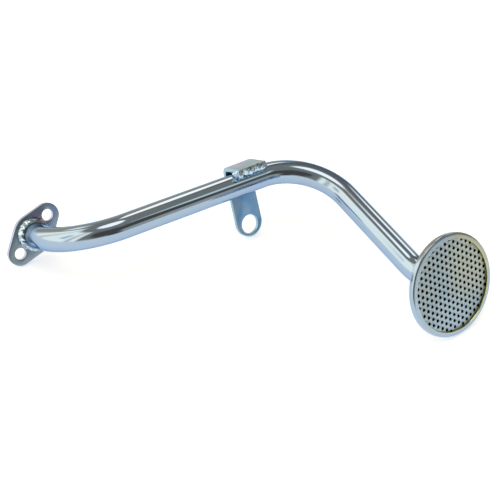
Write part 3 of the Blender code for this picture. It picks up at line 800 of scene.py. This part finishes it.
def new_group(name, inputs, outputs):
    """An empty shader group with named sockets, and its input and output nodes."""
    group = bpy.data.node_groups.new(name, "ShaderNodeTree")
    for way, sockets in (("INPUT", inputs), ("OUTPUT", outputs)):
        for label, kind in sockets:
            group.interface.new_socket(label, in_out=way, socket_type=kind)
    return group, group.nodes.new("NodeGroupInput"), group.nodes.new("NodeGroupOutput")


def placed_group(nodes, link, kind, values):
    """One of the shared groups, with its own values or links."""
    node = nodes.new("ShaderNodeGroup")
    node.node_tree = GROUPS[kind]
    for label, value in values.items():
        feed(link, node.inputs[label], value)
    return node


def mottle_group():
    """Uneven plating: slow clouds shift the colour and the roughness, and fine specks give a height."""
    group, source, result = new_group(
        "plating_mottle",
        [("Color", COLOUR), ("Tint", COLOUR), ("Cloud Scale", NUMBER), ("Amount", NUMBER),
         ("Roughness", NUMBER), ("Spread", NUMBER), ("Speck Scale", NUMBER)],
        [("Color", COLOUR), ("Roughness", NUMBER), ("Height", NUMBER)])
    nodes, link, given = group.nodes, group.links.new, source.outputs
    place = nodes.new("ShaderNodeTexCoord").outputs["Object"]
    cloud = noise(nodes, link, place, given["Cloud Scale"], CLOUD_DETAIL, CLOUD_ROUGHNESS)
    cover = smooth_step(nodes, link, cloud, CLOUD_FROM, CLOUD_TO)
    share = maths(nodes, link, "MULTIPLY", cover, given["Amount"])
    rough = maths(nodes, link, "MULTIPLY_ADD", cover, given["Spread"], given["Roughness"])
    link(colour_mix(nodes, link, share, given["Color"], given["Tint"]), result.inputs["Color"])
    link(rough, result.inputs["Roughness"])
    link(noise(nodes, link, place, given["Speck Scale"]), result.inputs["Height"])
    return group


def stain_group():
    """One round stain: full within Near of its centre, none beyond Far, its border broken up by noise."""
    group, source, result = new_group(
        "round_stain",
        [("Color", COLOUR), ("Stain", COLOUR), ("Centre", PLACE), ("Near", NUMBER), ("Far", NUMBER),
         ("Amount", NUMBER)],
        [("Color", COLOUR)])
    nodes, link, given = group.nodes, group.links.new, source.outputs
    place = nodes.new("ShaderNodeTexCoord").outputs["Object"]
    away = nodes.new("ShaderNodeVectorMath")
    away.operation = "DISTANCE"
    link(place, away.inputs[0])
    link(given["Centre"], away.inputs[1])
    wobble = noise(nodes, link, place, STAIN_WOBBLE_SCALE)
    shifted = maths(nodes, link, "MULTIPLY_ADD", wobble, STAIN_WOBBLE, away.outputs["Value"])
    distance = maths(nodes, link, "SUBTRACT", shifted, STAIN_WOBBLE / 2)
    share = maths(nodes, link, "MULTIPLY", smooth_step(nodes, link, distance, given["Far"], given["Near"]),
                  given["Amount"])
    link(colour_mix(nodes, link, share, given["Color"], given["Stain"]), result.inputs["Color"])
    return group


def metal(name, colour, tint, amount, cloud_scale, roughness, spread, relief_depth=0.0, speck_scale=900.0,
          edge_tint=(1.0, 1.0, 1.0), dulling=0.0, stains=(), marks=()):
    """A plated metal: mottled colour and roughness and a fine bump, then its stains and marked areas.

    A stain is (colour, centre in the pump's frame, near, far, amount), and a mark is (attribute, colour). The
    edge tint colours what is seen at a glancing angle, and the dulling is added where the attribute says so.
    """
    material = bpy.data.materials.new(name)
    material.use_nodes = True
    nodes, link = material.node_tree.nodes, material.node_tree.links.new
    shader = nodes["Principled BSDF"]
    shader.inputs["Metallic"].default_value = 1.0
    shader.inputs["Specular Tint"].default_value = (*edge_tint, 1.0)
    mottle = placed_group(nodes, link, "mottle", {
        "Color": (*colour, 1.0), "Tint": (*tint, 1.0), "Cloud Scale": cloud_scale, "Amount": amount,
        "Roughness": roughness, "Spread": spread, "Speck Scale": speck_scale})
    shade = mottle.outputs["Color"]
    for stain, centre, near, far, strength in stains:
        spot = placed_group(nodes, link, "stain", {
            "Color": shade, "Stain": (*stain, 1.0), "Centre": to_world(centre), "Near": near, "Far": far,
            "Amount": strength})
        shade = spot.outputs["Color"]
    for label, marked in marks:
        shade = colour_mix(nodes, link, marked_by(nodes, label), shade, (*marked, 1.0))
    link(shade, shader.inputs["Base Color"])
    rough = mottle.outputs["Roughness"]
    if dulling:
        rough = maths(nodes, link, "MULTIPLY_ADD", marked_by(nodes, "dulled"), dulling, rough)
    link(rough, shader.inputs["Roughness"])
    if relief_depth:
        relief = nodes.new("ShaderNodeBump")
        relief.inputs["Strength"].default_value = 1.0
        relief.inputs["Distance"].default_value = relief_depth
        link(mottle.outputs["Height"], relief.inputs["Height"])
        link(relief.outputs["Normal"], shader.inputs["Normal"])
    return material


def tube_finish():
    """Bright zinc, mirror smooth but for the stretch that the flange's weld has dulled."""
    return metal("bright_zinc_tube", (0.345, 0.46, 0.61), (0.39, 0.46, 0.57), amount=0.5, cloud_scale=35.0,
                 roughness=0.07, spread=0.04, edge_tint=(0.45, 0.62, 0.85), dulling=0.22)


def flange_finish():
    """Blue-grey zinc, greyer at the lower lobe, with bright sheared walls and painted shade as a dark line at
    their edges.
    """
    half = FLANGE_BOLT_SPACING / 2
    lower_lobe = np.array([-half * math.cos(FLANGE_TURN), -half * math.sin(FLANGE_TURN), FLANGE_THICKNESS])
    return metal("blue_grey_zinc_plate", (0.30, 0.43, 0.62), (0.36, 0.46, 0.58), amount=0.8, cloud_scale=90.0,
                 roughness=0.28, spread=0.10, relief_depth=0.006 * MM,
                 stains=[((0.30, 0.40, 0.46), lower_lobe, 8.0 * MM, 18.0 * MM, 0.6),
                         ((0.22, 0.16, 0.24), WELD_SCORCH, 4.0 * MM, 11.0 * MM, 0.7)],
                 # painted shade: a dark line along the round edges
                 marks=[("sheared", (0.42, 0.50, 0.68)), ("edge_shade_line", (0.06, 0.09, 0.13))])


def strap_finish():
    """Blue zinc, with painted light making the strap's top paler, and lilac along its fold."""
    top = BRACKET_ORIGIN + [0.0, TOP_FACE + STRAP_THICKNESS, 2.0 * MM]
    fold = top + [-2.0 * MM, 0.0, -12.0 * MM]
    return metal("blue_zinc_strap", (0.18, 0.37, 0.62), (0.30, 0.45, 0.60), amount=0.9, cloud_scale=60.0,
                 roughness=0.30, spread=0.12, relief_depth=0.006 * MM,
                 # painted light: the top face paler, where it faces the overhead light
                 stains=[((0.29, 0.46, 0.58), top, 13.0 * MM, 21.0 * MM, 0.9),
                         ((0.44, 0.37, 0.64), fold, 6.0 * MM, 13.0 * MM, 0.6)],
                 marks=[("sheared", (0.33, 0.49, 0.60))])


def cup_finish():
    """Satin zinc, yellower at the right of the lip and on its raw edge, with painted shade darkening its
    inside.
    """
    right_lip = CUP_CENTRE + [30.0 * MM, 26.0 * MM, 0.0]
    return metal("satin_zinc_cup", (0.34, 0.46, 0.61), (0.38, 0.47, 0.56), amount=0.6, cloud_scale=50.0,
                 roughness=0.13, spread=0.06, relief_depth=0.002 * MM,
                 stains=[((0.45, 0.43, 0.28), right_lip, 16.0 * MM, 34.0 * MM, 0.6)],
                 # painted shade: the cup's inside near black
                 marks=[("inside", (0.02, 0.02, 0.02)), ("raw_edge", (0.55, 0.54, 0.28))])


def screen_finish():
    """Satin zinc, warmer at the right and bluer low down, with painted shade darkening the walls of its
    holes.
    """
    right = CUP_CENTRE + [22.0 * MM, 12.0 * MM, 0.0]
    low = CUP_CENTRE + [-4.0 * MM, -30.0 * MM, 0.0]
    return metal("satin_zinc_screen", (0.34, 0.46, 0.57), (0.40, 0.49, 0.52), amount=0.9, cloud_scale=40.0,
                 roughness=0.34, spread=0.06, relief_depth=0.002 * MM,
                 stains=[((0.52, 0.57, 0.51), right, 10.0 * MM, 36.0 * MM, 0.7),
                         ((0.46, 0.62, 0.78), low, 6.0 * MM, 30.0 * MM, 0.6)],
                 # painted shade: the walls of the holes near black
                 marks=[("sheared", (0.03, 0.03, 0.03))])


def bead_finish():
    """Bright weld metal, broken up by deep relief and dark flecks, scorched beside the upper bolt hole, with
    painted shade where it meets the tube.
    """
    return metal("bright_bead", (0.66, 0.85, 1.0), (0.03, 0.04, 0.07), amount=0.65, cloud_scale=480.0,
                 roughness=0.06, spread=0.06, relief_depth=0.5 * MM, speck_scale=430.0,
                 stains=[((0.22, 0.15, 0.22), WELD_SCORCH, 4.0 * MM, 10.0 * MM, 0.8)],
                 # painted shade: dark blue in the valley where a ring bead meets the tube
                 marks=[("throat_shade", (0.14, 0.23, 0.38))])


def smooth_band(nodes, link, value, low, high, soft):
    """1 between two values, with soft edges, as the product of a rising and a falling step."""
    rising = smooth_step(nodes, link, value, low - soft, low + soft)
    falling = smooth_step(nodes, link, value, high + soft, high - soft)
    return maths(nodes, link, "MULTIPLY", rising, falling)


# Soft boxes and dark panels of the studio: the middle and half width of the azimuth, the elevation's range,
# the softness, all in degrees, and the radiance
STUDIO_PANELS = [
    ("far_horizon", 60.0, 60.0, (-12.0, 27.0), 5.0, (0.76, 0.56, 0.37)),
    ("right_shade", 34.0, 12.0, (-12.0, 62.0), 4.0, (0.24, 0.22, 0.19)),
    ("near_horizon", -75.0, 14.0, (-12.0, 21.0), 4.0, (0.62, 0.57, 0.47)),
    ("near_shade", -100.0, 40.0, (22.0, 46.0), 5.0, (0.13, 0.11, 0.09)),
    ("camera_shade", -112.0, 22.0, (0.0, 50.0), 8.0, (0.13, 0.11, 0.09)),
    ("near_ground", -130.0, 22.0, (-12.0, 6.0), 4.0, (0.85, 0.78, 0.64)),
    ("overhead", 0.0, 200.0, (75.0, 120.0), 2.0, (2.3, 2.0, 1.7)),
    ("back_box", 53.0, 8.5, (33.0, 58.0), 2.0, (2.6, 2.15, 1.65)),
    ("back_patch", 92.0, 7.0, (28.0, 42.0), 3.0, (2.0, 1.7, 1.3)),
    ("left_wall", 156.0, 48.0, (-12.0, 57.0), 5.0, (1.9, 1.7, 1.35)),
    ("left_pane", 168.0, 7.0, (20.0, 42.0), 3.0, (0.95, 1.0, 0.95)),
    ("left_fold", 130.0, 3.0, (-12.0, 57.0), 4.0, (1.0, 0.9, 0.72)),
    ("near_fold", 188.0, 4.0, (-12.0, 57.0), 5.0, (0.95, 0.85, 0.7)),
    ("near_strip", -57.0, 5.0, (41.0, 53.0), 2.0, (1.15, 1.25, 1.1)),
    ("right_box", 20.0, 4.5, (25.0, 46.0), 2.0, (2.3, 2.0, 1.6)),
]
SKY = (0.36, 0.33, 0.27)
BACKDROP = (1.0, 1.0, 1.0)

# The floor and the lamp over it
FLOOR_SIZE = 12.0
FLOOR_COLOUR = (0.79, 0.84, 0.91)
FLOOR_ROUGHNESS = 0.9
FLOOR_GLOW = 0.52
LAMP_SIZE = 2.4
LAMP_POWER = 4.0
LAMP_PLACE = (-0.3, 0.2, 2.2)


def build_world():
    """A grey studio with soft boxes, painted by direction, behind a plain pale backdrop for the camera."""
    world = bpy.data.worlds.new("studio")
    bpy.context.scene.world = world
    world.use_nodes = True
    nodes, link = world.node_tree.nodes, world.node_tree.links.new
    nodes.clear()
    place = nodes.new("ShaderNodeTexCoord")
    axes = nodes.new("ShaderNodeSeparateXYZ")
    link(place.outputs["Generated"], axes.inputs[0])
    height = maths(nodes, link, "ARCSINE", axes.outputs["Z"])
    colour = (*SKY, 1.0)
    for label, middle, half, elevation, soft, radiance in STUDIO_PANELS:
        half, soft = math.radians(half), math.radians(soft)
        low, high = (math.radians(angle) for angle in elevation)
        facing = nodes.new("ShaderNodeVectorRotate")
        facing.rotation_type = "Z_AXIS"
        facing.inputs["Angle"].default_value = -math.radians(middle)
        link(place.outputs["Generated"], facing.inputs["Vector"])
        flat = nodes.new("ShaderNodeSeparateXYZ")
        link(facing.outputs["Vector"], flat.inputs[0])
        turn = maths(nodes, link, "ARCTAN2", flat.outputs["Y"], flat.outputs["X"])
        around = smooth_band(nodes, link, turn, -half, half, soft)
        above = smooth_band(nodes, link, height, low, high, soft)
        mask = maths(nodes, link, "MULTIPLY", around, above)
        colour = colour_mix(nodes, link, mask, colour, (*radiance, 1.0))
        colour.node.label = label
    studio = nodes.new("ShaderNodeBackground")
    link(colour, studio.inputs["Color"])
    backdrop = nodes.new("ShaderNodeBackground")
    backdrop.inputs["Color"].default_value = (*BACKDROP, 1.0)
    ray = nodes.new("ShaderNodeLightPath")
    choose = nodes.new("ShaderNodeMixShader")
    link(ray.outputs["Is Camera Ray"], choose.inputs["Fac"])
    link(studio.outputs[0], choose.inputs[1])
    link(backdrop.outputs[0], choose.inputs[2])
    result = nodes.new("ShaderNodeOutputWorld")
    link(choose.outputs[0], result.inputs["Surface"])


def build_stage():
    """A pale floor with a glow of its own, which keeps it near white, and a weak broad light overhead."""
    bpy.ops.mesh.primitive_plane_add(size=FLOOR_SIZE)
    floor = bpy.context.object
    floor.name = "floor"
    pale = bpy.data.materials.new("pale_floor")
    pale.use_nodes = True
    shader = pale.node_tree.nodes["Principled BSDF"]
    shader.inputs["Base Color"].default_value = (*FLOOR_COLOUR, 1.0)
    shader.inputs["Roughness"].default_value = FLOOR_ROUGHNESS
    shader.inputs["Emission Color"].default_value = (1.0, 1.0, 1.0, 1.0)
    shader.inputs["Emission Strength"].default_value = FLOOR_GLOW
    floor.data.materials.append(pale)
    lamp = bpy.data.lights.new("overhead", "AREA")
    lamp.shape = "DISK"
    lamp.size = LAMP_SIZE
    lamp.energy = LAMP_POWER
    overhead = bpy.data.objects.new("overhead", lamp)
    overhead.location = LAMP_PLACE
    overhead.visible_glossy = False
    bpy.context.scene.collection.objects.link(overhead)


def build_camera():
    """The photograph's viewpoint: placed, aimed and rolled as the fit to its outlines gives them."""
    lens = bpy.data.cameras.new("camera")
    lens.lens = CAMERA_LENS
    lens.sensor_width = SENSOR_WIDTH
    lens.clip_start = CAMERA_NEAR
    lens.clip_end = CAMERA_FAR
    camera = bpy.data.objects.new("camera", lens)
    bpy.context.scene.collection.objects.link(camera)
    place = Vector(CAMERA_PLACE)
    look = (Vector(CAMERA_AIM) - place).to_track_quat("-Z", "Y").to_matrix().to_4x4()
    camera.matrix_world = Matrix.Translation(place) @ look @ Matrix.Rotation(CAMERA_ROLL, 4, "Z")
    bpy.context.scene.camera = camera


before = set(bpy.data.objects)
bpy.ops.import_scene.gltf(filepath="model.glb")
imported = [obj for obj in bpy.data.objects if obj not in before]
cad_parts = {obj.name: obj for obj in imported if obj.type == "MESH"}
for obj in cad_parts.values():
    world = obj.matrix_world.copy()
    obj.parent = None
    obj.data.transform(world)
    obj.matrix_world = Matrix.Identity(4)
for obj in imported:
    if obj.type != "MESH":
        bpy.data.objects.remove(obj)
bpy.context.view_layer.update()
REST = rest_matrix()
GROUPS = {"mottle": mottle_group(), "stain": stain_group()}
weld_metal = bead_finish()
build_tube(tube_finish())
build_flange(flange_finish())
build_ring_beads(weld_metal)
build_strap(strap_finish())
build_strap_bead(weld_metal)
build_cup(cup_finish())
build_screen(screen_finish())
build_world()
build_stage()
build_camera()
bpy.context.scene.view_settings.view_transform = "Standard"
